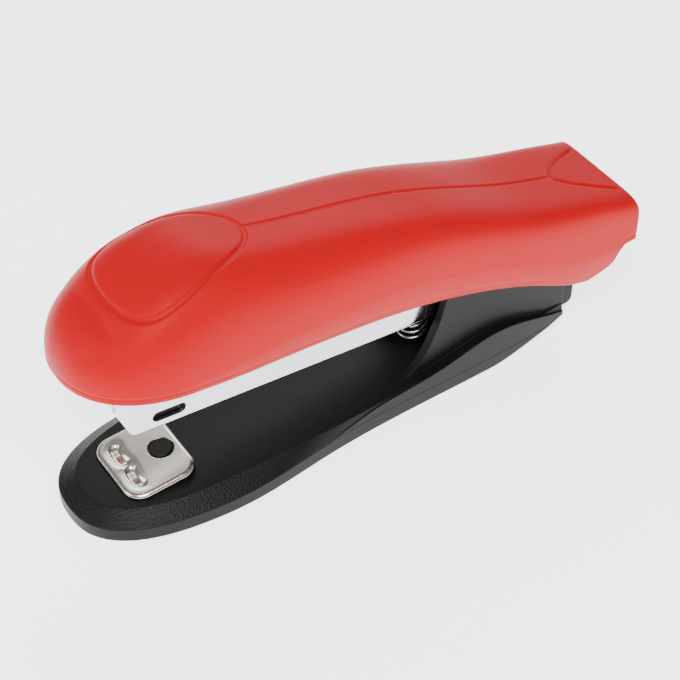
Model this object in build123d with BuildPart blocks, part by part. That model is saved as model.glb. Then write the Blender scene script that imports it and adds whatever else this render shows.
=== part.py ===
from build123d import *
from math import asin, cos, pi, radians, sin
import os

# Desk stapler for small staples, in mm. The mouth looks towards -X, the hinge is at the +X end,
# the stapler stands on the XY plane and Y = 0 is its plane of symmetry.

# ---- staple (size 10) and the fits that follow from it ----
STAPLE_WIDTH = 9.3            # outside width of the crown
STAPLE_LEG = 5.0              # leg length, crown included
STAPLE_WIRE = 0.5
STAPLE_PLAY = 0.25            # each side, staple to channel and staple to rail

SHEET = 0.7                   # magazine sheet metal
ARM_SHEET = 0.8               # pressing arm sheet metal
SIDE_GAP = 0.25               # between parts that swing past each other
RUN_GAP = 0.05                # radial clearance of a running fit

# ---- hinge ----
PIN_X = 37.0
PIN_Z = 14.9
PIN_R = 1.4
PIN_HEAD_R = 2.5
PIN_HEAD_T = 0.6
LOBE_R = 3.3                  # radius of the hinge lobes around the pin

# ---- magazine, measured from the pin along (u) and square to (v) the channel ----
MAG_TILT = 4.05               # rest angle, nose up
MAG_LENGTH = 80.4             # pin to the front face
MAG_BOTTOM = -3.4
SHELL_TOP = 4.0
SHELL_REAR = -25.2            # where the channel's side walls end
SHELL_CORNER = [              # lower rear corner of the side walls
    (-31.6, -2.75), (-28.4, -2.65), (-26.6, -2.1), (-25.7, -1.1), (SHELL_REAR, 0.6),
]
FLANGE_GAP = 1.2              # between the two front flanges
THROAT = 1.2                  # slot the staple and the blade pass through
SLOT_LENGTH = 5.9
SLOT_HEIGHT = 1.9
SLOT_START = 3.8              # from the front face
SLOT_RISE = 1.5               # above the bottom edge
BLOCK_FRONT = -31.0
BLOCK_TOP = 3.6
BLOCK_GAP = 0.3               # from the side walls to the full width of the block
BLOCK_RIVETS = (-18.0, -9.0)
BLOCK_RIVET_DEPTH = 4.0
ROD_SEAT = 6.0                # depth of the rod's hole in the block

# ---- pressing arm and driver, in the same u, v directions ----
ARM_EDGE = 1.95               # lower edge of the arm's sides
ARM_TOP = 10.5
ARM_TOP_REAR = 7.6
ARM_LEVEL = 20.0              # length of the level top behind the front
ARM_STEP = 7.5                # length of the raised edge behind the front
ARM_STEP_V = 5.5
BLADE_T = 0.5
BLADE_TAB_LENGTH = 10.0
BLADE_RIVET_Y = 2.4
RIVET_R = 0.8
RIVET_HEAD_R = 1.3
RIVET_HEAD_T = 0.4
LEAF_T = 0.4
LEAF_HALF = 2.2

# ---- follower, rod and spring ----
ROD_R = 0.8
FOLLOWER_LENGTH = 8.0
LUG_LENGTH = 3.0
LUG_WIDTH = 3.0
ROD_V = -0.6
RAIL_SHEET = 0.6
SPRING_WIRE = 0.35
SPRING_R = 1.3                # mean coil radius
SPRING_TURNS = 16

# ---- base ----
BASE_TIP_X = -53.2
BASE_REAR_X = 39.8
NOSE_LENGTH = 26.2            # tip to the widest place
BASE_HALF = 13.65             # widest half-width
WAIST_X = 12.0
WAIST_HALF = 10.5
REAR_HALF = 9.0
NOSE_POWER = 2.5              # superellipse exponent of the rounded front
CREASE_Z = 2.5                # top of the upright edge below the bevel
FLOOR_Z = 4.4                 # floor height at the anvil's front edge
FLOOR_PITCH = 0.9             # the floor rises to the rear
BEVEL_FRONT = 2.9             # how far the bevel runs in, front and rear
BEVEL_REAR = 0.55
BASE_WALL = 1.7
RIB_T = 1.2
BAY_COUNT = 9

EAR_OUTER = 8.4
EAR_T = 1.5
EAR_FRONT = [                 # front edge of the ears, x and z
    (4.0, 4.9), (9.1, 7.1), (10.4, 8.9), (12.2, 12.6), (13.3, 15.4), (14.2, 18.9), (15.0, 21.0),
]
EAR_TOP = (17.0, 21.8)
EAR_FOOT_Z = 4.0
SKIRT = [                     # top edge of the raised skirt outside the ears
    (-12.0, 2.6), (-6.0, 3.7), (0.0, 4.7), (5.0, 5.05), (9.2, 5.4), (14.0, 6.1), (18.5, 7.2),
    (22.6, 7.95), (26.5, 7.9), (33.4, 6.2), (39.8, 4.3),
]
SKIRT_FOOT_Z = 1.0
SKIRT_INSET = 0.05            # the skirt stands this far in from the outline
BRIDGE_X = (36.5, 42.1)       # block that joins the ears at the rear
BRIDGE_Z = (4.9, 10.4)
BRIDGE_CORNER = 1.3
UNDERSIDE = [                 # the underside curves up at the rear
    (23.0, 0.0), (29.9, 1.0), (34.5, 2.0), (42.8, 4.6),
]

# ---- anvil ----
ANVIL_FRONT_X = -45.3
ANVIL_TOP_Z = 5.05            # top of the plate at its front edge
ANVIL_PITCH = 4.5             # the plate lies parallel to the closed channel
ANVIL_LENGTH = 12.7
ANVIL_WIDTH = 14.8
ANVIL_T = 0.9
ANVIL_CORNER = 3.2
POCKET_BACK = 3.1             # pocket centre line behind the front edge
POCKET_LENGTH = 5.5
POCKET_GAP = 0.5
POCKET_WIDTH = 2.9
POCKET_DEPTH = 0.55
STUD_BACK = 9.3
STUD_R = 1.95
STUD_PROUD = 0.2
STUD_DEPTH = 1.9

# ---- lift spring ----
LIFT_X = 13.5
LIFT_R = 2.4                  # mean coil radius
LIFT_WIRE = 0.6
LIFT_TURNS = 5
LIFT_POST = 1.6               # height of the post it stands around

# ---- cover: stations along X with half-width, top height, widest height, roundness ----
COVER_WALL = 1.3
COVER_TIP_X = -52.0
COVER_NOSE_X = -36.0          # where the nose rounding starts
COVER_NOSE_POWER = 2.2
COVER_NOSE_DROP = 11.0        # how deep the sides and the nose run down before they are cut off
COVER_NOSE_ROOF = 42.2        # roof height over the front of the nose, before it is rounded off
COVER_NOSE_FALL = 0.4         # slope of the roof over the rear of the nose
COVER_TUCK = 0.045            # how far the sides draw in, 4 mm below the widest height
COVER_REAR_X = 53.4
COVER_BODY = [                # x, half-width, top, height where it is widest, exponent
    (COVER_NOSE_X, 13.25, 45.8, 30.8, 2.7),
    (-29.0, 13.05, 46.7, 31.0, 2.85),
    (-20.0, 12.75, 44.85, 31.1, 3.05),
    (-8.0, 12.25, 42.3, 30.6, 3.3),
    (6.0, 11.7, 39.5, 29.0, 3.8),
    (20.0, 11.35, 34.75, 25.2, 4.7),
    (32.0, 11.3, 30.2, 20.6, 6.0),
    (42.0, 11.2, 27.45, 16.8, 7.5),
    (COVER_REAR_X, 11.0, 24.5, 16.2, 8.0),
]
LIP = [                       # lower edge of the cover, front to rear, as x, z
    (-53.0, 30.9), (-44.8, 30.3), (-36.8, 29.4), (-28.4, 28.1), (-19.4, 27.1), (-10.0, 26.0),
    (3.0, 24.0), (15.4, 21.2), (24.0, 18.5), (30.0, 16.1), (36.0, 13.1), (40.0, 11.3), (43.5, 10.4),
]
TAIL = [                      # rear edge of the cover, from the lip up
    (43.5, 10.4), (46.4, 11.3), (49.3, 14.3), (51.8, 17.7), (52.95, 21.2), (52.6, 24.3),
]
REAR_WALL_LOW = 19.0          # the rear wall stops here, so the cover can swing open

ARCH_STEPS = 12               # spline points on half of a cover section

# ---- worked out ----
TILT = radians(MAG_TILT)
CHANNEL_HALF = STAPLE_WIDTH / 2 + STAPLE_PLAY          # inside of the outer channel
MAG_HALF = CHANNEL_HALF + SHEET                        # outside of the outer channel
RAIL_HALF = STAPLE_WIDTH / 2 - STAPLE_WIRE - STAPLE_PLAY / 2
WEB_TOP = MAG_BOTTOM + SHEET
RAIL_TOP = WEB_TOP + 0.2 + STAPLE_LEG - STAPLE_WIRE
MAG_FRONT = -MAG_LENGTH
FLANGE_BACK = MAG_FRONT + SHEET
RAIL_FRONT = FLANGE_BACK + THROAT
BLADE_BACK = RAIL_FRONT - 0.2
BLADE_FRONT = BLADE_BACK - BLADE_T
BLADE_LOW = RAIL_TOP + STAPLE_WIRE + 0.2
BLADE_HALF = STAPLE_WIDTH / 2 - 0.05
ARM_INNER = MAG_HALF + SIDE_GAP
ARM_OUTER = ARM_INNER + ARM_SHEET
EAR_INNER = EAR_OUTER - EAR_T
ARM_SLOPE = (ARM_TOP - ARM_TOP_REAR) / (LOBE_R - BLADE_BACK - ARM_LEVEL)
FOLLOWER_FRONT = RAIL_FRONT + 0.1
FLOOR_TAN = sin(radians(FLOOR_PITCH)) / cos(radians(FLOOR_PITCH))
WIDE_X = BASE_TIP_X + NOSE_LENGTH
BAR = 60.0                    # longer than any width, for cuts right through


def magazine_side():
    """Plane of symmetry in the magazine's own directions: local x is u, local y is v."""
    return Plane(origin=(PIN_X, 0, PIN_Z), x_dir=(cos(TILT), 0, -sin(TILT)), z_dir=(0, -1, 0))


def magazine_point(u, v):
    return (PIN_X + u * cos(TILT) + v * sin(TILT), 0, PIN_Z - u * sin(TILT) + v * cos(TILT))


def magazine_level(v):
    """Plane parallel to the channel's floor at height v: local x is u, local y is Y."""
    return Plane(origin=magazine_point(0, v), x_dir=(cos(TILT), 0, -sin(TILT)),
                 z_dir=(sin(TILT), 0, cos(TILT)))


def magazine_station(u):
    """Plane square to the channel at u, looking rearwards: local x is Y, local y is v."""
    return Plane(origin=magazine_point(u, 0), x_dir=(0, 1, 0), z_dir=(cos(TILT), 0, -sin(TILT)))


def floor_height(x):
    return FLOOR_Z + (x - ANVIL_FRONT_X) * FLOOR_TAN


def anvil_level(height):
    """Plane of the plate at a height over its top face: local x runs back from the front edge."""
    pitch = radians(ANVIL_PITCH)
    return Plane(origin=(ANVIL_FRONT_X - height * sin(pitch), 0, ANVIL_TOP_Z + height * cos(pitch)),
                 x_dir=(cos(pitch), 0, sin(pitch)), z_dir=(-sin(pitch), 0, cos(pitch)))


def upright(y):
    """XZ plane at a given Y, local x along +X and local y along +Z."""
    return Plane(origin=(0, y, 0), x_dir=(1, 0, 0), z_dir=(0, -1, 0))


def base_outline(inset_front, inset_rear):
    """Points of half the base outline, moved in by an amount that fades from front to rear."""
    points = []
    for step in range(7):
        t = pi / 2 * step / 6
        points.append((WIDE_X - (NOSE_LENGTH - inset_front) * cos(t) ** (2 / NOSE_POWER),
                       (BASE_HALF - inset_front) * sin(t) ** (2 / NOSE_POWER)))
    middle = inset_rear + 0.15 * (inset_front - inset_rear)
    points.append(((WIDE_X + WAIST_X) / 2 - 4, (BASE_HALF + WAIST_HALF) / 2 - 0.2 - middle))
    points.append((WAIST_X, WAIST_HALF - inset_rear))
    points.append((BASE_REAR_X - 8, (WAIST_HALF + 2 * REAR_HALF) / 3 + 0.25 - inset_rear))
    points.append((BASE_REAR_X, REAR_HALF - inset_rear))
    return points


def outline_sketch(points):
    """Closed face from half an outline and its mirror image."""
    with BuildSketch(Plane.XY) as sketch:
        with BuildLine():
            edge = Spline(*[(x, -y) for x, y in reversed(points[1:])], *points)
            Line(edge @ 1, edge @ 0)
        make_face()
    return sketch.sketch


os.makedirs("parts", exist_ok=True)

# ================= base =================

outer_plan = outline_sketch(base_outline(0, 0))
skirt_plan = outline_sketch(base_outline(0, SKIRT_INSET))
floor_plan = outline_sketch([(x - ANVIL_FRONT_X, y) for x, y in base_outline(BEVEL_FRONT, BEVEL_REAR)])
hollow_plan = outline_sketch(base_outline(BEVEL_FRONT + BASE_WALL, BEVEL_REAR + BASE_WALL))

with BuildPart() as base_body:
    floor_plane = Plane(origin=(ANVIL_FRONT_X, 0, FLOOR_Z),
                        x_dir=(cos(radians(FLOOR_PITCH)), 0, sin(radians(FLOOR_PITCH))),
                        z_dir=(-sin(radians(FLOOR_PITCH)), 0, cos(radians(FLOOR_PITCH))))
    # upright edge up to the crease, then the bevel up to the floor
    with BuildSketch(Plane.XY):
        add(outer_plan)
    extrude(amount=CREASE_Z)
    with BuildSketch(Plane.XY.offset(CREASE_Z)):
        add(outer_plan)
    with BuildSketch(floor_plane):
        add(floor_plan)
    loft()
    # raised skirt outside the ears, following the outline
    with BuildSketch(upright(BAR / 2)):
        with BuildLine():
            rise = Spline(*SKIRT)
            Polyline(rise @ 1, (SKIRT[-1][0], SKIRT_FOOT_Z), (SKIRT[0][0], SKIRT_FOOT_Z), rise @ 0)
        make_face()
    skirt_slab = extrude(amount=BAR, mode=Mode.PRIVATE)
    add(skirt_slab & extrude(skirt_plan, amount=BAR, mode=Mode.PRIVATE))
    # the space between the ears is cut back down to the floor
    with BuildSketch(upright(EAR_INNER)):
        with BuildLine():
            Polyline((0, floor_height(0)), (BASE_REAR_X + 5, floor_height(BASE_REAR_X + 5)),
                     (BASE_REAR_X + 5, BAR), (0, BAR), close=True)
        make_face()
    extrude(amount=2 * EAR_INNER, mode=Mode.SUBTRACT)
    # ears
    for outside in (EAR_OUTER, -EAR_INNER):
        with BuildSketch(upright(outside)):
            with BuildLine():
                front = Spline(*EAR_FRONT)
                Polyline(front @ 1, EAR_TOP, (PIN_X, PIN_Z + LOBE_R + 0.4))
                ThreePointArc((PIN_X, PIN_Z + LOBE_R + 0.4), (PIN_X + 2.1, PIN_Z + 2.6), (BASE_REAR_X, PIN_Z))
                Polyline((BASE_REAR_X, PIN_Z), (BASE_REAR_X, EAR_FOOT_Z), (EAR_FRONT[0][0], EAR_FOOT_Z),
                         front @ 0)
            make_face()
        extrude(amount=EAR_T)
    # rear bridge between the ears, which also stops the open cover
    with BuildSketch(upright(EAR_OUTER - 0.2)):
        with Locations((sum(BRIDGE_X) / 2, sum(BRIDGE_Z) / 2)):
            RectangleRounded(BRIDGE_X[1] - BRIDGE_X[0], BRIDGE_Z[1] - BRIDGE_Z[0], BRIDGE_CORNER)
    extrude(amount=2 * (EAR_OUTER - 0.2))
    with BuildSketch(upright(BAR / 2)):
        with BuildLine():
            under = Spline(*UNDERSIDE, tangents=[(1, 0), (1, 0.5)])
            Polyline(under @ 1, (UNDERSIDE[-1][0], -2), (UNDERSIDE[0][0], -2), under @ 0)
        make_face()
    extrude(amount=BAR, mode=Mode.SUBTRACT)
    # hollow bays between cross ribs and one long rib
    bay_start, bay_end = BASE_TIP_X + 6.0, 23.0
    bay_pitch = (bay_end - bay_start) / BAY_COUNT
    for bay in range(BAY_COUNT):
        left = bay_start + bay * bay_pitch
        with BuildSketch(Plane.XY):
            add(hollow_plan)
            with Locations((left + (bay_pitch - RIB_T) / 2, 0)):
                Rectangle(bay_pitch - RIB_T, BAR, mode=Mode.INTERSECT)
            Rectangle(BAR * 2, RIB_T, mode=Mode.SUBTRACT)
        extrude(amount=floor_height(left) - BASE_WALL - 0.3, mode=Mode.SUBTRACT)
    # bed and seat for the anvil, hole for its stud, and the post inside the lift spring
    for inset, height in ((0.5, -1.3), (-RUN_GAP, 3.0)):
        with BuildSketch(anvil_level(-ANVIL_T)):
            with Locations((ANVIL_LENGTH / 2, 0)):
                RectangleRounded(ANVIL_LENGTH - 2 * inset, ANVIL_WIDTH - 2 * inset, ANVIL_CORNER - inset)
        extrude(amount=height, mode=Mode.ADD if height < 0 else Mode.SUBTRACT)
    with BuildSketch(anvil_level(0)):
        with Locations((STUD_BACK, 0)):
            Circle(STUD_R + 0.02)
    extrude(amount=-STUD_DEPTH - 0.1, mode=Mode.SUBTRACT)
    with BuildSketch(Plane.XY.offset(floor_height(LIFT_X) - 0.5)):
        with Locations((LIFT_X, 0)):
            Circle(LIFT_R - LIFT_WIRE / 2 - 0.3)
    extrude(amount=0.5 + LIFT_POST)
    # bore for the pin
    with BuildSketch(upright(BAR / 2)):
        with Locations((PIN_X, PIN_Z)):
            Circle(PIN_R + 0.02)
    extrude(amount=BAR, mode=Mode.SUBTRACT)
base_body.part.label = "base_body"
export_step(base_body.part, "parts/base_body.step")


# ================= anvil, pin and lift spring =================

with BuildPart() as anvil_plate:
    with BuildSketch(anvil_level(-ANVIL_T)):
        with Locations((ANVIL_LENGTH / 2, 0)):
            RectangleRounded(ANVIL_LENGTH, ANVIL_WIDTH, ANVIL_CORNER)
    extrude(amount=ANVIL_T)
    plate_up = Axis((0, 0, 0), anvil_level(0).z_dir)
    fillet(anvil_plate.faces().sort_by(plate_up)[-1].edges(), ANVIL_T * 0.55)
    with BuildSketch(anvil_level(0)):
        pocket_y = (POCKET_LENGTH + POCKET_GAP) / 2
        with Locations((POCKET_BACK, pocket_y), (POCKET_BACK, -pocket_y)):
            SlotOverall(POCKET_LENGTH, POCKET_WIDTH, rotation=90)
    extrude(amount=-POCKET_DEPTH, mode=Mode.SUBTRACT)
    with BuildSketch(anvil_level(0)):
        with Locations((STUD_BACK, 0)):
            Circle(STUD_R + 0.15)
    extrude(amount=-2 * ANVIL_T, mode=Mode.SUBTRACT)
anvil_plate.part.label = "anvil_plate"
export_step(anvil_plate.part, "parts/anvil_plate.step")

with BuildPart() as anvil_stud:
    with BuildSketch(anvil_level(STUD_PROUD)):
        with Locations((STUD_BACK, 0)):
            Circle(STUD_R)
    extrude(amount=-STUD_PROUD - STUD_DEPTH)
    chamfer(anvil_stud.edges().sort_by(plate_up)[-1], 0.15)
anvil_stud.part.label = "anvil_stud"
export_step(anvil_stud.part, "parts/anvil_stud.step")

with BuildPart() as hinge_pin:
    with BuildSketch(upright(EAR_OUTER + PIN_HEAD_T)):
        with Locations((PIN_X, PIN_Z)):
            Circle(PIN_R)
    extrude(amount=2 * EAR_OUTER + PIN_HEAD_T)
    with BuildSketch(upright(-EAR_OUTER)):
        with Locations((PIN_X, PIN_Z)):
            Circle(PIN_HEAD_R)
    extrude(amount=PIN_HEAD_T)
hinge_pin.part.label = "hinge_pin"
export_step(hinge_pin.part, "parts/hinge_pin.step")

with BuildPart() as pin_clip:
    with BuildSketch(upright(EAR_OUTER + PIN_HEAD_T)):
        with Locations((PIN_X, PIN_Z)):
            Circle(PIN_HEAD_R)
            Circle(PIN_R + 0.02, mode=Mode.SUBTRACT)
    extrude(amount=PIN_HEAD_T)
pin_clip.part.label = "pin_clip"
export_step(pin_clip.part, "parts/pin_clip.step")

lift_u = (LIFT_X - PIN_X) / cos(TILT)
lift_low = floor_height(LIFT_X) + LIFT_WIRE / 2 + 0.15
lift_high = magazine_point(lift_u, MAG_BOTTOM)[2] - LIFT_WIRE / 2 - 0.3
with BuildPart() as lift_spring:
    with BuildLine():
        coil = Helix((lift_high - lift_low) / LIFT_TURNS, lift_high - lift_low, LIFT_R,
                     center=(LIFT_X, 0, lift_low))
    with BuildSketch(Plane(origin=coil @ 0, z_dir=coil % 0)):
        Circle(LIFT_WIRE / 2)
    sweep()
lift_spring.part.label = "lift_spring"
export_step(lift_spring.part, "parts/lift_spring.step")

# ================= magazine =================

with BuildPart() as magazine_shell:
    with BuildSketch(magazine_station(MAG_FRONT)):
        with Locations((0, (MAG_BOTTOM + SHELL_TOP) / 2)):
            Rectangle(2 * MAG_HALF, SHELL_TOP - MAG_BOTTOM)
    extrude(amount=MAG_LENGTH - LOBE_R - 1.0)
    along = Vector(cos(TILT), 0, -sin(TILT))
    up = Vector(sin(TILT), 0, cos(TILT))
    fillet(magazine_shell.edges().filter_by(Axis((0, 0, 0), along)).sort_by(Axis((0, 0, 0), up))[:2], 0.5)
    fillet(magazine_shell.edges().filter_by(Axis((0, 0, 0), up)).sort_by(Axis.X)[:2], 0.9)
    # inside of the channel, up to the front wall
    with BuildSketch(magazine_station(FLANGE_BACK)):
        with Locations((0, (WEB_TOP + SHELL_TOP + 1) / 2)):
            Rectangle(2 * CHANNEL_HALF, SHELL_TOP + 1 - WEB_TOP)
    extrude(amount=MAG_LENGTH, mode=Mode.SUBTRACT)
    # the side walls end short of the hinge, with a rounded lower corner
    with BuildSketch(magazine_side()):
        with BuildLine():
            corner = Spline(*SHELL_CORNER)
            Polyline(corner @ 1, (SHELL_REAR, SHELL_TOP + 1), (5, SHELL_TOP + 1), (5, SHELL_CORNER[0][1]),
                     corner @ 0)
        make_face()
    extrude(amount=BAR / 2, both=True, mode=Mode.SUBTRACT)
    # gap between the front flanges, staple exit in the web, window in both sides
    with BuildSketch(magazine_station(MAG_FRONT - 1)):
        Rectangle(FLANGE_GAP, 4 * SHELL_TOP)
    extrude(amount=1 + SHEET, mode=Mode.SUBTRACT)
    with BuildSketch(magazine_level(MAG_BOTTOM - 1)):
        with Locations(((FLANGE_BACK + RAIL_FRONT) / 2, 0)):
            Rectangle(THROAT, 2 * CHANNEL_HALF)
    extrude(amount=1 + 1.5 * SHEET, mode=Mode.SUBTRACT)
    with BuildSketch(magazine_side()):
        with Locations((MAG_FRONT + SLOT_START + SLOT_LENGTH / 2, MAG_BOTTOM + SLOT_RISE + SLOT_HEIGHT / 2)):
            SlotOverall(SLOT_LENGTH, SLOT_HEIGHT)
    extrude(amount=BAR / 2, both=True, mode=Mode.SUBTRACT)
    with BuildSketch(magazine_level(MAG_BOTTOM - 1)):
        with Locations(*[(u, 0) for u in BLOCK_RIVETS]):
            Circle(RIVET_R + 0.02)
    extrude(amount=1 + 2 * SHEET, mode=Mode.SUBTRACT)
magazine_shell.part.label = "magazine_shell"
export_step(magazine_shell.part, "parts/magazine_shell.step")

with BuildPart() as staple_rail:
    with BuildSketch(magazine_station(RAIL_FRONT)):
        with Locations((0, (WEB_TOP + RAIL_TOP) / 2)):
            Rectangle(2 * RAIL_HALF, RAIL_TOP - WEB_TOP)
        with Locations((0, (WEB_TOP + RAIL_TOP) / 2 - RAIL_SHEET)):
            Rectangle(2 * (RAIL_HALF - RAIL_SHEET), RAIL_TOP - WEB_TOP, mode=Mode.SUBTRACT)
    extrude(amount=BLOCK_FRONT - RAIL_FRONT)
    # slot the follower's lug runs in
    with BuildSketch(magazine_level(RAIL_TOP + 1)):
        with Locations(((RAIL_FRONT + 3 + BLOCK_FRONT) / 2, 0)):
            Rectangle(BLOCK_FRONT - RAIL_FRONT - 3, LUG_WIDTH + 2 * SIDE_GAP)
    extrude(amount=-1 - 2 * RAIL_SHEET, mode=Mode.SUBTRACT)
staple_rail.part.label = "staple_rail"
export_step(staple_rail.part, "parts/staple_rail.step")

with BuildPart() as rear_block:
    with BuildSketch(magazine_side()):
        with Locations(((BLOCK_FRONT + SHELL_REAR) / 2 + 1, (WEB_TOP + BLOCK_TOP) / 2)):
            Rectangle(SHELL_REAR - BLOCK_FRONT + 2, BLOCK_TOP - WEB_TOP)
    extrude(amount=CHANNEL_HALF, both=True)
    with BuildSketch(magazine_side()):
        with Locations(((SHELL_REAR + BLOCK_GAP) / 2, (WEB_TOP + BLOCK_TOP) / 2)):
            Rectangle(-SHELL_REAR - BLOCK_GAP, BLOCK_TOP - WEB_TOP)
        Circle(LOBE_R)
        Circle(PIN_R + RUN_GAP, mode=Mode.SUBTRACT)
    extrude(amount=MAG_HALF, both=True)
    with BuildSketch(magazine_station(BLOCK_FRONT)):
        with Locations((0, ROD_V)):
            Circle(ROD_R + 0.02)
    extrude(amount=ROD_SEAT, mode=Mode.SUBTRACT)
    with BuildSketch(magazine_level(WEB_TOP)):
        with Locations(*[(u, 0) for u in BLOCK_RIVETS]):
            Circle(RIVET_R + 0.02)
    extrude(amount=BLOCK_RIVET_DEPTH, mode=Mode.SUBTRACT)
rear_block.part.label = "rear_block"
export_step(rear_block.part, "parts/rear_block.step")

for u, name in zip(BLOCK_RIVETS, ("block_rivet_front", "block_rivet_rear")):
    with BuildPart() as block_rivet:
        with BuildSketch(magazine_level(MAG_BOTTOM)):
            with Locations((u, 0)):
                Circle(RIVET_R)
        extrude(amount=SHEET + BLOCK_RIVET_DEPTH - 0.1)
        with BuildSketch(magazine_level(MAG_BOTTOM)):
            with Locations((u, 0)):
                Circle(RIVET_HEAD_R)
        extrude(amount=-RIVET_HEAD_T)
    block_rivet.part.label = name
    export_step(block_rivet.part, f"parts/{name}.step")

rod_front = RAIL_FRONT + 0.5
with BuildPart() as guide_rod:
    with BuildSketch(magazine_station(rod_front)):
        with Locations((0, ROD_V)):
            Circle(ROD_R)
    extrude(amount=BLOCK_FRONT + ROD_SEAT - rod_front)
guide_rod.part.label = "guide_rod"
export_step(guide_rod.part, "parts/guide_rod.step")

with BuildPart() as rod_plate:
    with BuildSketch(magazine_station(rod_front + 0.3)):
        with Locations((0, (WEB_TOP + RAIL_TOP - RAIL_SHEET) / 2)):
            Rectangle(2 * (RAIL_HALF - RAIL_SHEET), RAIL_TOP - RAIL_SHEET - WEB_TOP)
        with Locations((0, ROD_V)):
            Circle(ROD_R + 0.02, mode=Mode.SUBTRACT)
    extrude(amount=1.2)
rod_plate.part.label = "rod_plate"
export_step(rod_plate.part, "parts/rod_plate.step")

follower_rear = FOLLOWER_FRONT + FOLLOWER_LENGTH
with BuildPart() as staple_follower:
    saddle_top = RAIL_TOP + 1.0
    saddle_low = WEB_TOP + 0.15
    with BuildSketch(magazine_station(FOLLOWER_FRONT)):
        with Locations((0, (saddle_low + saddle_top) / 2)):
            Rectangle(2 * (CHANNEL_HALF - 0.15), saddle_top - saddle_low)
        with Locations((0, RAIL_TOP + 0.12 - 5)):
            Rectangle(2 * (RAIL_HALF + 0.12), 10, mode=Mode.SUBTRACT)
    extrude(amount=FOLLOWER_LENGTH)
    with BuildSketch(magazine_station(follower_rear - LUG_LENGTH)):
        with Locations((0, (ROD_V - ROD_R - 0.6 + RAIL_TOP + 0.5) / 2)):
            Rectangle(LUG_WIDTH, RAIL_TOP + 0.5 - (ROD_V - ROD_R - 0.6))
    extrude(amount=LUG_LENGTH)
    with BuildSketch(magazine_station(FOLLOWER_FRONT - 1)):
        with Locations((0, ROD_V)):
            Circle(ROD_R + RUN_GAP)
    extrude(amount=FOLLOWER_LENGTH + 2, mode=Mode.SUBTRACT)
staple_follower.part.label = "staple_follower"
export_step(staple_follower.part, "parts/staple_follower.step")

spring_length = BLOCK_FRONT - follower_rear - SPRING_WIRE - 0.1
with BuildPart() as follower_spring:
    with BuildLine():
        coil = Helix(spring_length / SPRING_TURNS, spring_length, SPRING_R,
                     center=magazine_point(follower_rear + SPRING_WIRE / 2 + 0.05, ROD_V),
                     direction=(cos(TILT), 0, -sin(TILT)))
    with BuildSketch(Plane(origin=coil @ 0, z_dir=coil % 0)):
        Circle(SPRING_WIRE / 2)
    sweep()
follower_spring.part.label = "follower_spring"
export_step(follower_spring.part, "parts/follower_spring.step")

# ================= pressing arm and driver =================


def arm_profile(drop):
    """Side view of the arm, with its top lowered by drop."""
    with BuildSketch(Plane.XY) as sketch:
        with BuildLine():
            Polyline((BLADE_BACK, ARM_STEP_V), (BLADE_BACK, ARM_TOP - drop),
                     (BLADE_BACK + ARM_LEVEL, ARM_TOP - drop), (LOBE_R, ARM_TOP_REAR - drop),
                     (LOBE_R, 0))
            ThreePointArc((LOBE_R, 0), (0, -LOBE_R), (-LOBE_R, 0))
            Polyline((-LOBE_R, 0), (-LOBE_R - ARM_EDGE, ARM_EDGE), (BLADE_BACK + ARM_STEP, ARM_EDGE),
                     (BLADE_BACK + ARM_STEP, ARM_STEP_V), (BLADE_BACK, ARM_STEP_V))
        make_face()
    return sketch.sketch


def arm_top(u):
    return ARM_TOP - max(0.0, u - BLADE_BACK - ARM_LEVEL) * ARM_SLOPE


arm_side = arm_profile(0)
rivet_u = BLADE_BACK + BLADE_TAB_LENGTH / 2
leaf_rivet_u = -10.0
with BuildPart() as pressing_arm:
    with BuildSketch(magazine_side()):
        add(arm_side)
    extrude(amount=ARM_OUTER, both=True)
    with BuildSketch(magazine_side()):
        with BuildLine():
            Polyline((BLADE_BACK - 1, -9), (BLADE_BACK - 1, ARM_TOP - ARM_SHEET),
                     (BLADE_BACK + ARM_LEVEL, ARM_TOP - ARM_SHEET),
                     (LOBE_R + 1, ARM_TOP_REAR - ARM_SHEET - ARM_SLOPE), (LOBE_R + 1, -9), close=True)
        make_face()
    extrude(amount=ARM_INNER, both=True, mode=Mode.SUBTRACT)
    with BuildSketch(magazine_side()):
        Circle(PIN_R + RUN_GAP)
    extrude(amount=BAR / 2, both=True, mode=Mode.SUBTRACT)
    with BuildSketch(magazine_level(0)):
        with Locations((rivet_u, BLADE_RIVET_Y), (rivet_u, -BLADE_RIVET_Y), (leaf_rivet_u, 0)):
            Circle(RIVET_R + 0.02)
    extrude(amount=ARM_TOP + 2, mode=Mode.SUBTRACT)
pressing_arm.part.label = "pressing_arm"
export_step(pressing_arm.part, "parts/pressing_arm.step")

with BuildPart() as driver_blade:
    with BuildSketch(magazine_station(BLADE_FRONT)):
        with Locations((0, (BLADE_LOW + ARM_TOP + BLADE_T) / 2)):
            Rectangle(2 * BLADE_HALF, ARM_TOP + BLADE_T - BLADE_LOW)
    extrude(amount=BLADE_T)
    with BuildSketch(magazine_level(ARM_TOP)):
        with Locations((BLADE_FRONT + BLADE_TAB_LENGTH / 2, 0)):
            Rectangle(BLADE_TAB_LENGTH, 2 * BLADE_HALF)
        with Locations((rivet_u, BLADE_RIVET_Y), (rivet_u, -BLADE_RIVET_Y)):
            Circle(RIVET_R + 0.02, mode=Mode.SUBTRACT)
    extrude(amount=BLADE_T)
driver_blade.part.label = "driver_blade"
export_step(driver_blade.part, "parts/driver_blade.step")

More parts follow.
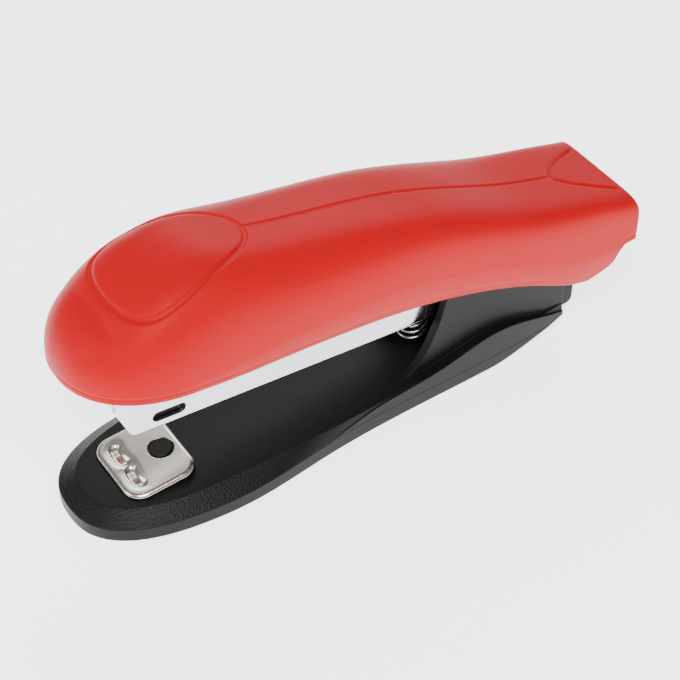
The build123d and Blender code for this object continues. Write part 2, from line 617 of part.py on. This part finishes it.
for y, name in ((-BLADE_RIVET_Y, "blade_rivet_left"), (BLADE_RIVET_Y, "blade_rivet_right")):
    with BuildPart() as blade_rivet:
        with BuildSketch(magazine_level(ARM_TOP - ARM_SHEET)):
            with Locations((rivet_u, y)):
                Circle(RIVET_R)
        extrude(amount=ARM_SHEET + BLADE_T)
        with BuildSketch(magazine_level(ARM_TOP + BLADE_T)):
            with Locations((rivet_u, y)):
                Circle(RIVET_HEAD_R)
        extrude(amount=RIVET_HEAD_T)
    blade_rivet.part.label = name
    export_step(blade_rivet.part, f"parts/{name}.step")

leaf_rear = leaf_rivet_u + 3.5
leaf_bend = leaf_rivet_u - 3.5
leaf_tip = BLOCK_FRONT + 4.0
with BuildPart() as arm_leaf_spring:
    with BuildSketch(magazine_side()):
        with BuildLine():
            rear_v = arm_top(leaf_rear) - ARM_SHEET
            bend_v = arm_top(leaf_bend) - ARM_SHEET
            tip_v = BLOCK_TOP + LEAF_T + 0.15
            Line((leaf_rear, rear_v), (leaf_bend, bend_v))
            upper = Spline((leaf_bend, bend_v), ((leaf_bend + leaf_tip) / 2, (bend_v + tip_v) / 2 - 0.3),
                           (leaf_tip, tip_v))
            Line(upper @ 1, (leaf_tip, tip_v - LEAF_T))
            lower = Spline((leaf_tip, tip_v - LEAF_T),
                           ((leaf_bend + leaf_tip) / 2 + 0.1, (bend_v + tip_v) / 2 - 0.3 - LEAF_T),
                           (leaf_bend, bend_v - LEAF_T))
            Polyline(lower @ 1, (leaf_rear, rear_v - LEAF_T), (leaf_rear, rear_v))
        make_face()
    extrude(amount=LEAF_HALF, both=True)
    with BuildSketch(magazine_level(0)):
        with Locations((leaf_rivet_u, 0)):
            Circle(RIVET_R + 0.02)
    extrude(amount=ARM_TOP, mode=Mode.SUBTRACT)
arm_leaf_spring.part.label = "arm_leaf_spring"
export_step(arm_leaf_spring.part, "parts/arm_leaf_spring.step")

with BuildPart() as leaf_rivet:
    shank_top = arm_top(leaf_rivet_u) + 0.1
    shank_low = arm_top(leaf_rivet_u) - ARM_SHEET - LEAF_T - 0.1
    with BuildSketch(magazine_level(shank_low)):
        with Locations((leaf_rivet_u, 0)):
            Circle(RIVET_R)
    extrude(amount=shank_top - shank_low)
    with BuildSketch(magazine_level(shank_low)):
        with Locations((leaf_rivet_u, 0)):
            Circle(RIVET_HEAD_R)
    extrude(amount=-RIVET_HEAD_T)
leaf_rivet.part.label = "leaf_rivet"
export_step(leaf_rivet.part, "parts/leaf_rivet.step")

# ================= cover =================


def arch_section(half, top, middle, drop, power):
    """Points of a rounded arch, from its lower edge at -Y over the top to the one at +Y."""
    side = []
    for share in (1.0, 0.75, 0.5, 0.25):
        tuck = COVER_TUCK * (share * COVER_NOSE_DROP / 4) ** 1.5
        side.append((half * (1 - tuck), middle - drop * share))
    for step in range(ARCH_STEPS):
        angle = pi / 2 * step / ARCH_STEPS
        side.append((half * cos(angle) ** (2 / power), middle + (top - middle) * sin(angle) ** (2 / power)))
    return [(-y, z) for y, z in side] + [(0.0, top)] + [(y, z) for y, z in reversed(side)]


def cover_stations(inset):
    """X and section of each station, moved in by a wall thickness."""
    tip_x = COVER_TIP_X + inset
    half, top, middle, power = COVER_BODY[0][1:]
    stations = []
    for share in (0.998, 0.975, 0.92, 0.82, 0.68, 0.5, 0.28):
        x = COVER_NOSE_X - (COVER_NOSE_X - tip_x) * share
        scale = (1 - share ** COVER_NOSE_POWER) ** (1 / COVER_NOSE_POWER)
        roof = max(COVER_NOSE_ROOF, top - COVER_NOSE_FALL * (COVER_NOSE_X - x)) - inset
        stations.append((x, arch_section((half - inset) * scale, middle + (roof - middle) * scale, middle,
                                         COVER_NOSE_DROP * scale, power)))
    for x, half, top, middle, power in COVER_BODY:
        stations.append((x - inset if x == COVER_REAR_X else x,
                         arch_section(half - inset, top - inset, middle, COVER_NOSE_DROP, power)))
    return stations


with BuildPart() as cover_cavity:
    for x, points in cover_stations(COVER_WALL):
        with BuildSketch(Plane.YZ.offset(x)):
            with BuildLine():
                arch = Spline(*points)
                Line(arch @ 1, arch @ 0)
            make_face()
    loft()
    # two long ribs and two cross ribs stay, and sit on the pressing arm
    rib_front = BLADE_FRONT + BLADE_TAB_LENGTH + 2
    with BuildSketch(magazine_side()):
        with BuildLine():
            Polyline((rib_front, 45), (rib_front, ARM_TOP), (BLADE_BACK + ARM_LEVEL, ARM_TOP),
                     (-LOBE_R, arm_top(-LOBE_R)), (-LOBE_R, 45), close=True)
        make_face()
    rib_slab = extrude(amount=BAR / 2, both=True, mode=Mode.PRIVATE)
    for y in (-4.0, 4.0):
        add(rib_slab & Box(4 * BAR, COVER_WALL, 4 * BAR, mode=Mode.PRIVATE).moved(Location((0, y, 0))),
            mode=Mode.SUBTRACT)
    for u in (rib_front + 4, -40.0):
        x, _, z = magazine_point(u, ARM_TOP)
        add(rib_slab & Box(COVER_WALL, 4 * BAR, 4 * BAR, mode=Mode.PRIVATE).moved(Location((x, 0, 0))),
            mode=Mode.SUBTRACT)

with BuildPart() as top_cover:
    for x, points in cover_stations(0):
        with BuildSketch(Plane.YZ.offset(x)):
            with BuildLine():
                arch = Spline(*points)
                Line(arch @ 1, arch @ 0)
            make_face()
    loft()
    add(cover_cavity.part, mode=Mode.SUBTRACT)
    with BuildSketch(upright(0)):
        with BuildLine():
            lip = Spline(*LIP)
            tail = Spline(*TAIL, tangents=[(1, 0), (-0.3, 1)])
            Polyline(tail @ 1, (TAIL[-1][0], 60), (LIP[0][0] - 3, 60), (LIP[0][0] - 3, LIP[0][1]), LIP[0])
        make_face()
    extrude(amount=BAR / 2, both=True, mode=Mode.INTERSECT)
    # open below the rear wall
    with BuildSketch(Plane.YZ.offset(COVER_REAR_X - 6)):
        with Locations((0, REAR_WALL_LOW - 15)):
            Rectangle(2 * (COVER_BODY[-1][1] - COVER_WALL), 30)
    extrude(amount=10, mode=Mode.SUBTRACT)
top_cover.part.label = "top_cover"
export_step(top_cover.part, "parts/top_cover.step")
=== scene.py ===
import math

import bpy
import numpy as np
from mathutils import Matrix, Vector


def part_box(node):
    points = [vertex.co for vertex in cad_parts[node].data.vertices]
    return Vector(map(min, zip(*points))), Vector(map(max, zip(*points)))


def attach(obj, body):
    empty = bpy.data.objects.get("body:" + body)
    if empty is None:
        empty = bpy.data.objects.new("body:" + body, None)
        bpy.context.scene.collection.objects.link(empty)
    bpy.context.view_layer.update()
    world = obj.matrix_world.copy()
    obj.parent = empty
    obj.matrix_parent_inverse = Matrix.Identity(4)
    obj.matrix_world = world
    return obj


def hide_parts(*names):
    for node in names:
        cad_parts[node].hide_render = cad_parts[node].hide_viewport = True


# Looks of the stapler. Lengths in the tables are mm in the row frame; MM turns them into metres.

MM = 0.001

# ---- cover: the CAD cover's profile, with its edge and tail as plain splines ----
TIP_X, NOSE_X, REAR_X = -52.0, -36.0, 53.4
NOSE_POWER = 2.2
NOSE_DROP = 11.0
NOSE_ROOF = 42.2
NOSE_FALL = 0.4
TUCK = 0.045
WALL = 1.3
BODY = np.array([             # x, half-width, top, height where it is widest, exponent
    (-36.0, 13.25, 45.8, 30.8, 2.7),
    (-29.0, 13.05, 46.7, 31.0, 2.85),
    (-20.0, 12.75, 44.85, 31.1, 3.05),
    (-8.0, 12.25, 42.3, 30.6, 3.3),
    (6.0, 11.7, 39.5, 29.0, 3.8),
    (20.0, 11.35, 34.75, 25.2, 4.7),
    (32.0, 11.3, 30.2, 20.6, 6.0),
    (42.0, 11.2, 27.45, 16.8, 7.5),
    (REAR_X, 11.0, 24.5, 16.2, 8.0),
])
LIP = np.array([              # lower edge of the side, x and z
    (-53.0, 30.9), (-44.8, 30.3), (-36.8, 29.4), (-28.4, 28.1), (-19.4, 27.1), (-10.0, 26.0),
    (3.0, 24.0), (15.4, 21.2), (24.0, 18.5), (30.0, 16.1), (36.0, 13.1), (40.0, 11.3), (43.5, 10.4),
])
TAIL = np.array([             # rear edge of the side, x and z
    (43.5, 10.4), (46.4, 11.3), (49.3, 14.3), (51.8, 17.7), (52.95, 21.2), (52.6, 24.3),
])
TAIL_WIDEST_X, TAIL_WIDEST_Z = TAIL[4]
REAR_WALL_LOW = 19.0
REAR_WALL_T = 0.6

# ---- moulded lines in the cover ----
PAD = [                       # half outline of the thumb pad, x and y
    (-42.5, 0.0), (-42.2, 3.4), (-41.4, 5.8), (-40.2, 7.4), (-38.4, 8.35), (-36.0, 8.55),
    (-33.3, 8.2), (-28.0, 6.8), (-23.8, 5.1), (-21.0, 3.0), (-19.7, 0.0),
]
PAD_CENTRE_X = -31.0
GROOVE_WIDTH = 1.05
GROOVE_DEPTH = 0.3
SPINE_START, SPINE_END = -19.2, 41.9
SPINE_HALF = 0.34
SPINE_DEPTH = 0.2
FAN_TIP_X, FAN_LENGTH, FAN_HALF, FAN_POWER = 41.9, 10.4, 6.1, 0.62

# ---- anvil, in the plate's own directions from the middle of its front edge ----
ANVIL_FRONT_X, ANVIL_TOP_Z = -45.3, 5.05
ANVIL_PITCH = math.radians(4.5)
ANVIL_LENGTH, ANVIL_WIDTH, ANVIL_T = 12.7, 14.8, 0.9
ANVIL_CORNER = 3.2
ANVIL_ROLL = 0.75             # radius of the rolled rim
POCKET_BACK, POCKET_SIDE = 3.0, 2.75
POCKET_HALF = 1.5             # half of the straight middle of a pocket
POCKET_R = 1.25
POCKET_DEPTH = 0.52
DRAW_DEPTH = 0.06             # how far the sheet draws in around a pocket
STUD_BACK, STUD_HOLE_R = 9.3, 2.1

# ---- camera: the photo's angle, its aim point off the origin, and its distance ----
AZIMUTH, ELEVATION = math.radians(-33.42), math.radians(43.68)
AIM_RIGHT, AIM_UP, DISTANCE = -1.08, 7.891, 309.178
LENS = 95.3

LIGHT_AIM = (0, 0, 0.02)      # metres

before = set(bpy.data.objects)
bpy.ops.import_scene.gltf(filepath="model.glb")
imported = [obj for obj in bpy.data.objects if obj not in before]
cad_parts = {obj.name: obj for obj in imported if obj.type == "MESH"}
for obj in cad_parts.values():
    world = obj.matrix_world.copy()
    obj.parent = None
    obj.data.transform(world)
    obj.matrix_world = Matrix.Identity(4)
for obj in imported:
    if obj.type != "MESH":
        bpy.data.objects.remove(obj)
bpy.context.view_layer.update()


# ---------------------------------------------------------------- small helpers

def natural_spline(xs, ys, x):
    """Natural cubic spline through the points, at x."""
    xs, ys, x = (np.asarray(a, float) for a in (xs, ys, x))
    n = len(xs)
    h = np.diff(xs)
    a = np.eye(n)
    r = np.zeros(n)
    for i in range(1, n - 1):
        a[i, i - 1:i + 2] = (h[i - 1], 2 * (h[i - 1] + h[i]), h[i])
        r[i] = 6 * ((ys[i + 1] - ys[i]) / h[i] - (ys[i] - ys[i - 1]) / h[i - 1])
    m = np.linalg.solve(a, r)
    k = np.clip(np.searchsorted(xs, x) - 1, 0, n - 2)
    d0, d1 = xs[k + 1] - x, x - xs[k]
    return ((m[k] * d0 ** 3 + m[k + 1] * d1 ** 3) / (6 * h[k])
            + (ys[k] / h[k] - m[k] * h[k] / 6) * d0 + (ys[k + 1] / h[k] - m[k + 1] * h[k] / 6) * d1)


def smooth(t):
    t = np.clip(t, 0, 1)
    return t * t * (3 - 2 * t)


def grid_mesh(name, points, close_v=False):
    """Mesh object from a grid of points in mm, rows by columns."""
    rows, columns = points.shape[:2]
    index = np.arange(rows * columns).reshape(rows, columns)
    if close_v:
        index = np.concatenate([index, index[:, :1]], axis=1)
    quads = np.stack([index[:-1, :-1], index[1:, :-1], index[1:, 1:], index[:-1, 1:]], axis=-1)
    mesh = bpy.data.meshes.new(name)
    mesh.from_pydata((points.reshape(-1, 3) * MM).tolist(), [], quads.reshape(-1, 4).tolist())
    mesh.validate()
    mesh.polygons.foreach_set("use_smooth", [True] * len(mesh.polygons))
    obj = bpy.data.objects.new(name, mesh)
    bpy.context.scene.collection.objects.link(obj)
    return obj


def keep_inside(points, node):
    """Clips points in mm to the box of a CAD node."""
    low, high = (np.array(corner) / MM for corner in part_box(node))
    return np.clip(points, low + 0.002, high - 0.002)


# ---------------------------------------------------------------- cover

def tail_x(z):
    return natural_spline(TAIL[:, 1], TAIL[:, 0], np.clip(z, TAIL[0, 1], TAIL[-1, 1]))


def low_z(x):
    if x <= LIP[-1, 0]:
        return float(natural_spline(LIP[:, 0], LIP[:, 1], x))
    z = np.linspace(TAIL[0, 1], TAIL_WIDEST_Z, 400)
    return float(np.interp(x, np.maximum.accumulate(tail_x(z)), z))


def section(x, share, angles, side_steps):
    """Half of a cover section at x, from its lower edge up to the spine, as y and z."""
    if share > 0:
        half, top, middle, power = BODY[0, 1:]
        scale = (1 - share ** NOSE_POWER) ** (1 / NOSE_POWER)
        roof = max(NOSE_ROOF, top - NOSE_FALL * (NOSE_X - x))
    else:
        half, roof, middle, power = (float(natural_spline(BODY[:, 0], BODY[:, k], x)) for k in (1, 2, 3, 4))
        scale = 1.0
    bottom = max(low_z(x), middle - NOSE_DROP * scale)
    low = np.linspace(min(bottom, middle - 0.01), middle, side_steps, endpoint=False)
    depth = np.clip((middle - low) / scale, 0, NOSE_DROP)
    y_low = half * scale * (1 - TUCK * (depth / 4) ** 1.5)
    radius = (np.cos(angles) ** power + np.sin(angles) ** power) ** (-1 / power)
    y_arch = half * scale * radius * np.cos(angles)
    z_arch = middle + (roof - middle) * scale * radius * np.sin(angles)
    return np.concatenate([y_low, y_arch]), np.concatenate([low, z_arch])


def pad_distance(x, y):
    """Distance outside the pad's outline, negative inside."""
    px, py = (np.array([p[k] for p in PAD]) for k in (0, 1))
    run = np.concatenate([[0], np.cumsum(np.hypot(np.diff(px), np.diff(py)))])
    # mirrored ends keep the outline smooth across the middle
    full = np.concatenate([-run[3:0:-1], run, 2 * run[-1] - run[-2:-5:-1]])
    fx = np.concatenate([px[3:0:-1], px, px[-2:-5:-1]])
    fy = np.concatenate([-py[3:0:-1], py, -py[-2:-5:-1]])
    t = np.linspace(0, run[-1], 400)
    ox, oy = natural_spline(full, fx, t), natural_spline(full, fy, t)
    out = np.full(x.shape, 99.0)
    near = (x > PAD[0][0] - 4) & (x < PAD[-1][0] + 4)
    qx, qy = x[near], np.abs(y[near])
    best = np.empty(len(qx))
    for start in range(0, len(qx), 20000):
        part = slice(start, start + 20000)
        best[part] = np.sqrt(((qx[part, None] - ox) ** 2 + (qy[part, None] - oy) ** 2).min(1))
    bearing = np.arctan2(oy, ox - PAD_CENTRE_X)
    order = np.argsort(bearing)
    reach = np.interp(np.arctan2(qy, qx - PAD_CENTRE_X), bearing[order],
                      np.hypot(ox - PAD_CENTRE_X, oy)[order])
    sign = np.where(np.hypot(qx - PAD_CENTRE_X, qy) < reach, -1, 1)
    out[near] = best * sign
    return out


def fan_distance(x, y):
    """Distance outside the rear fan, negative inside."""
    t = np.linspace(0, 1.2, 300)
    ox, oy = FAN_TIP_X + FAN_LENGTH * t, FAN_HALF * t ** FAN_POWER
    out = np.full(x.shape, 99.0)
    near = x > FAN_TIP_X - 3
    qx, qy = x[near], np.abs(y[near])
    best = np.sqrt(((qx[:, None] - ox) ** 2 + (qy[:, None] - oy) ** 2).min(1))
    edge = FAN_HALF * np.clip((qx - FAN_TIP_X) / FAN_LENGTH, 0, None) ** FAN_POWER
    out[near] = best * np.where((qx > FAN_TIP_X) & (qy < edge), -1, 1)
    return out


def channel(distance):
    """Depth share of a moulded channel that runs just outside an outline."""
    return smooth(distance / 0.25) * (1 - smooth((distance - GROOVE_WIDTH + 0.35) / 0.35))


def groove_depth(x, y):
    pad = pad_distance(x, y)
    fan = fan_distance(x, y)
    depth = GROOVE_DEPTH * channel(pad)
    depth = np.maximum(depth, GROOVE_DEPTH * 1.2 * channel(fan))
    along = smooth((x - SPINE_START) / 0.6) * (1 - smooth((x - SPINE_END) / 0.6))
    spine = SPINE_DEPTH * along * (1 - smooth(np.abs(y) / SPINE_HALF - 0.25))
    return np.maximum(depth, spine)


def cover_points(stations, arch_steps, side_steps):
    """Outer surface of the cover, one row for each station's x and nose share."""
    angles = np.linspace(0, math.pi / 2, arch_steps)
    rows = []
    for x, share in stations:
        y, z = section(x, share, angles, side_steps)
        y, z = np.concatenate([-y, y[-2::-1]]), np.concatenate([z, z[-2::-1]])
        rows.append(np.stack([np.full(len(y), x), y, z], axis=-1))
    points = np.array(rows)
    # the rear end leans with the tail line
    z = points[..., 2]
    end = tail_x(np.clip(z, TAIL_WIDEST_Z, TAIL[-1, 1])) / TAIL_WIDEST_X
    lean = smooth((points[..., 0] - 44) / 9)
    points[..., 0] *= 1 + (end - 1) * lean
    return points


def build_cover():
    shares = np.sin(np.linspace(math.pi / 2 * 0.9995, 0.004, 90))
    nose = [(NOSE_X - (NOSE_X - TIP_X) * s, s) for s in shares]
    rest = [(x, 0.0) for x in np.linspace(NOSE_X, TAIL_WIDEST_X, 430)]
    points = cover_points(nose + rest, 130, 14)
    du = np.gradient(points, axis=0)
    dv = np.gradient(points, axis=1)
    normal = np.cross(du, dv)
    normal /= np.linalg.norm(normal, axis=-1, keepdims=True) + 1e-12
    inward = np.where(((points - np.array([0, 0, 25.0])) * normal)[..., 1:].sum(-1) > 0, -1, 1)[..., None]
    x, y, z = (points[..., k] for k in (0, 1, 2))
    upper = normal[..., 2] * -inward[..., 0] > 0.15
    depth = np.where(upper, groove_depth(x, y), 0)
    # a shallow step marks the lip along the lower edge
    low = points[:, :1, 2]
    lip = 0.07 * smooth((z - low - 0.8) / 0.15) * (1 - smooth((z - low - 1.1) / 0.3))
    depth = depth + np.where(upper, 0, lip)
    points = points + normal * inward * depth[..., None]
    cover = grid_mesh("cover_skin", keep_inside(points, "top_cover"))
    thick = cover.modifiers.new("wall", "SOLIDIFY")
    thick.thickness = WALL * MM
    thick.offset = -1 if inward.mean() < 0 else 1
    return cover


def build_rear_wall():
    angles = np.linspace(0, math.pi / 2, 60)
    y, z = section(REAR_X - 0.5, 0.0, angles, 6)
    y, z = y[6:] - 0.4, z[6:] - 0.3
    y, z = np.concatenate([-y, y[-2::-1]]), np.concatenate([z, z[-2::-1]])
    rows = []
    for t in np.linspace(0, 1, 24):
        level = REAR_WALL_LOW + (np.maximum(z, REAR_WALL_LOW) - REAR_WALL_LOW) * t
        x = tail_x(np.clip(level, REAR_WALL_LOW, TAIL[-1, 1])) - 0.25
        rows.append(np.stack([x, y, level], axis=-1))
    wall = grid_mesh("cover_rear_wall", keep_inside(np.array(rows), "top_cover"))
    thick = wall.modifiers.new("wall", "SOLIDIFY")
    thick.thickness = REAR_WALL_T * MM
    thick.offset = 0
    return wall


# ---------------------------------------------------------------- anvil

def build_anvil():
    """Pressed plate: a rolled rim, two clinching pockets and a sunken hole for the stud."""
    turn = np.linspace(0, 2 * math.pi, 360, endpoint=False)
    half_l, half_w = ANVIL_LENGTH / 2, ANVIL_WIDTH / 2
    # rounded rectangle as seen from its centre
    cx, cy = np.cos(turn), np.sin(turn)
    reach = np.minimum(half_l / np.maximum(np.abs(cx), 1e-9), half_w / np.maximum(np.abs(cy), 1e-9))
    kx, ky = half_l - ANVIL_CORNER, half_w - ANVIL_CORNER
    along = np.abs(cx) * kx + np.abs(cy) * ky
    arc = along + np.sqrt(np.maximum(along ** 2 - (kx ** 2 + ky ** 2 - ANVIL_CORNER ** 2), 0))
    in_corner = (reach * np.abs(cx) > kx) & (reach * np.abs(cy) > ky)
    reach = np.where(in_corner, arc, reach)
    share = np.concatenate([[1.0, 1.0, 1.0], np.linspace(1, 0.86, 22), np.linspace(0.855, 0.004, 110)])
    u = np.outer(share, reach * cx)
    v = np.outer(share, reach * cy)
    # distance in from the rim
    qx, qy = np.abs(u) - kx, np.abs(v) - ky
    inside = ANVIL_CORNER - np.hypot(np.maximum(qx, 0), np.maximum(qy, 0)) - np.minimum(np.maximum(qx, qy), 0)
    over = np.clip(1 - inside / ANVIL_ROLL, 0, 1)
    h = -ANVIL_ROLL * (1 - np.sqrt(1 - over ** 2))
    back = u + half_l
    for side in (-1, 1):
        # both ends of a pocket bend a little towards the back
        run = v - side * POCKET_SIDE
        line = POCKET_BACK + 0.07 * run ** 2 - 0.12
        d = np.hypot(back - line, np.maximum(np.abs(run) - POCKET_HALF, 0))
        bowl = smooth((POCKET_R - d) / (POCKET_R * 0.62))
        floor_share = 0.84 - 0.16 * np.cos(run * math.pi / POCKET_HALF)
        h -= POCKET_DEPTH * bowl * floor_share
        # the sheet draws in a little around each pocket
        h -= DRAW_DEPTH * np.exp(-((d - POCKET_R) / 0.5) ** 2)
    h -= 0.55 * smooth((STUD_HOLE_R + 0.12 - np.hypot(back - STUD_BACK, v)) / 0.2)
    h[0], h[1] = -ANVIL_T + 0.02, -ANVIL_ROLL - 0.08
    x = ANVIL_FRONT_X + back * math.cos(ANVIL_PITCH) - h * math.sin(ANVIL_PITCH)
    z = ANVIL_TOP_Z + back * math.sin(ANVIL_PITCH) + h * math.cos(ANVIL_PITCH)
    return grid_mesh("anvil_skin", keep_inside(np.stack([x, v, z], axis=-1), "anvil_plate"), close_v=True)


# ---------------------------------------------------------------- materials

def material(name, color, rough, metallic=0.0, specular=0.5, bevel=0.0, grain=None, rough_vary=0.0):
    """Principled material; bevel is in mm and grain is (noise scale per metre, strength, distance in m)."""
    m = bpy.data.materials.new(name)
    m.use_nodes = True
    nodes, links = m.node_tree.nodes, m.node_tree.links
    p = nodes["Principled BSDF"]
    p.inputs["Base Color"].default_value = (*color, 1)
    p.inputs["Roughness"].default_value = rough
    p.inputs["Metallic"].default_value = metallic
    p.inputs["Specular IOR Level"].default_value = specular
    where = nodes.new("ShaderNodeTexCoord")
    normal = None
    if bevel:
        edge = nodes.new("ShaderNodeBevel")
        edge.samples = 6
        edge.inputs["Radius"].default_value = bevel * MM
        normal = edge.outputs["Normal"]
    if grain:
        scale, strength, distance = grain
        tex = nodes.new("ShaderNodeTexNoise")
        tex.inputs["Scale"].default_value = scale
        tex.inputs["Detail"].default_value = 3
        links.new(where.outputs["Object"], tex.inputs["Vector"])
        bump = nodes.new("ShaderNodeBump")
        bump.inputs["Strength"].default_value = strength
        bump.inputs["Distance"].default_value = distance
        links.new(tex.outputs["Fac"], bump.inputs["Height"])
        if normal:
            links.new(normal, bump.inputs["Normal"])
        normal = bump.outputs["Normal"]
    if normal:
        links.new(normal, p.inputs["Normal"])
    if rough_vary:
        tex = nodes.new("ShaderNodeTexNoise")
        tex.inputs["Scale"].default_value = 260
        tex.inputs["Detail"].default_value = 4
        links.new(where.outputs["Object"], tex.inputs["Vector"])
        ramp = nodes.new("ShaderNodeMapRange")
        ramp.inputs["To Min"].default_value = rough - rough_vary
        ramp.inputs["To Max"].default_value = rough + rough_vary
        links.new(tex.outputs["Fac"], ramp.inputs["Value"])
        links.new(ramp.outputs["Result"], p.inputs["Roughness"])
    return m


def base_material():
    """Black plastic, grained on the front bevel and smooth on the upright sides."""
    m = material("base_black", (0.0045, 0.0045, 0.0047), 0.44, specular=0.14, bevel=0.35)
    nodes, links = m.node_tree.nodes, m.node_tree.links
    p = nodes["Principled BSDF"]
    where = nodes.new("ShaderNodeTexCoord")
    geometry = nodes.new("ShaderNodeNewGeometry")
    split = nodes.new("ShaderNodeSeparateXYZ")
    links.new(geometry.outputs["Normal"], split.inputs["Vector"])
    place = nodes.new("ShaderNodeSeparateXYZ")
    links.new(where.outputs["Object"], place.inputs["Vector"])
    # grain fades out towards the rear and on upright faces, and is weak on the flat floor
    fade = nodes.new("ShaderNodeMapRange")
    fade.inputs["From Min"].default_value = -0.004
    fade.inputs["From Max"].default_value = -0.018
    links.new(place.outputs["X"], fade.inputs["Value"])
    slope = nodes.new("ShaderNodeMapRange")
    slope.inputs["From Min"].default_value = 0.15
    slope.inputs["From Max"].default_value = 0.4
    links.new(split.outputs["Z"], slope.inputs["Value"])
    flat = nodes.new("ShaderNodeMapRange")
    flat.inputs["From Min"].default_value = 0.985
    flat.inputs["From Max"].default_value = 0.93
    flat.inputs["To Min"].default_value = 0.25
    flat.inputs["To Max"].default_value = 1.0
    links.new(split.outputs["Z"], flat.inputs["Value"])
    both = nodes.new("ShaderNodeMath")
    both.operation = "MULTIPLY"
    links.new(fade.outputs["Result"], both.inputs[0])
    links.new(slope.outputs["Result"], both.inputs[1])
    weight = nodes.new("ShaderNodeMath")
    weight.operation = "MULTIPLY"
    links.new(both.outputs["Value"], weight.inputs[0])
    links.new(flat.outputs["Result"], weight.inputs[1])
    cells = nodes.new("ShaderNodeTexVoronoi")
    cells.inputs["Scale"].default_value = 2700
    links.new(where.outputs["Object"], cells.inputs["Vector"])
    bump = nodes.new("ShaderNodeBump")
    bump.inputs["Distance"].default_value = 0.00006
    links.new(weight.outputs["Value"], bump.inputs["Strength"])
    links.new(cells.outputs["Distance"], bump.inputs["Height"])
    bevel = next(n for n in nodes if n.bl_idname == "ShaderNodeBevel")
    links.new(bevel.outputs["Normal"], bump.inputs["Normal"])
    links.new(bump.outputs["Normal"], p.inputs["Normal"])
    return m


cover_red = material("cover_red", (0.42, 0.0, 0.005), 0.40, specular=0.14, grain=(2600, 0.05, 0.00002))
cover_red.node_tree.nodes["Principled BSDF"].inputs["Specular Tint"].default_value = (1, 0.35, 0.35, 1)
base_black = base_material()
block_black = material("block_black", (0.006, 0.006, 0.006), 0.38, specular=0.3, bevel=0.2)
nickel = material("nickel", (0.62, 0.64, 0.67), 0.14, metallic=1.0, bevel=0.12, rough_vary=0.03)
anvil_metal = material("anvil_nickel", (0.60, 0.56, 0.50), 0.22, metallic=1.0, rough_vary=0.03)
stud_black = material("stud_black", (0.003, 0.003, 0.003), 0.5, specular=0.2, bevel=0.1)
spring_wire = material("spring_wire", (0.55, 0.55, 0.57), 0.25, metallic=1.0)
steel = material("steel", (0.62, 0.63, 0.65), 0.3, metallic=1.0, bevel=0.1)
LOOKS = {
    "base_body": base_black, "rear_block": block_black, "staple_follower": block_black,
    "magazine_shell": nickel, "staple_rail": nickel, "pressing_arm": nickel,
    "anvil_plate": anvil_metal, "anvil_stud": stud_black,
    "lift_spring": spring_wire, "follower_spring": spring_wire, "arm_leaf_spring": spring_wire,
    "top_cover": cover_red,
}
for name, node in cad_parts.items():
    node.data.materials.clear()
    node.data.materials.append(LOOKS.get(name, steel))

# ---------------------------------------------------------------- pieces that stand for CAD nodes

cover = build_cover()
rear_wall = build_rear_wall()
for piece in (cover, rear_wall):
    piece.data.materials.append(cover_red)
    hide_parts("top_cover")
    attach(piece, "cover")

anvil = build_anvil()
anvil.data.materials.append(anvil_metal)
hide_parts("anvil_plate")
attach(anvil, "base")

# ---------------------------------------------------------------- stage, light and camera

bpy.ops.mesh.primitive_plane_add(size=6, location=(0, 0, -0.00005))
floor = bpy.context.object
floor.name = "floor"
floor_white = material("floor_white", (0.93, 0.93, 0.93), 0.9, specular=0.1)
floor_white.node_tree.nodes["Principled BSDF"].inputs["Emission Color"].default_value = (1, 1, 1, 1)
floor_white.node_tree.nodes["Principled BSDF"].inputs["Emission Strength"].default_value = 2.2
floor.data.materials.append(floor_white)


def softbox(name, place, size, power):
    light = bpy.data.lights.new(name, "AREA")
    light.shape = "RECTANGLE"
    light.size, light.size_y = size
    light.energy = power
    lamp = bpy.data.objects.new(name, light)
    lamp.location = place
    lamp.rotation_euler = (Vector(LIGHT_AIM) - Vector(place)).to_track_quat("-Z", "Y").to_euler()
    bpy.context.scene.collection.objects.link(lamp)


softbox("key", (-0.25, -0.45, 0.75), (0.6, 0.45), 12.0)
softbox("fill", (-0.75, 0.25, 0.45), (0.5, 0.5), 3.0)
softbox("back", (0.45, 0.6, 0.55), (0.7, 0.4), 4.5)

world = bpy.data.worlds.new("studio")
world.use_nodes = True
world.node_tree.nodes["Background"].inputs["Color"].default_value = (1, 1, 1, 1)
world.node_tree.nodes["Background"].inputs["Strength"].default_value = 0.32
bpy.context.scene.world = world

back = Vector((math.sin(AZIMUTH) * math.cos(ELEVATION), -math.cos(AZIMUTH) * math.cos(ELEVATION),
               math.sin(ELEVATION)))
right = Vector((math.cos(AZIMUTH), math.sin(AZIMUTH), 0))
up = back.cross(right)
lens = bpy.data.cameras.new("photo_camera")
lens.sensor_width = 36
lens.lens = LENS
lens.clip_start = 0.01
camera = bpy.data.objects.new("photo_camera", lens)
place = (AIM_RIGHT * right + AIM_UP * up + DISTANCE * back) * MM
camera.matrix_world = Matrix.Translation(place) @ Matrix((right, up, back)).transposed().to_4x4()
bpy.context.scene.collection.objects.link(camera)
bpy.context.scene.camera = camera
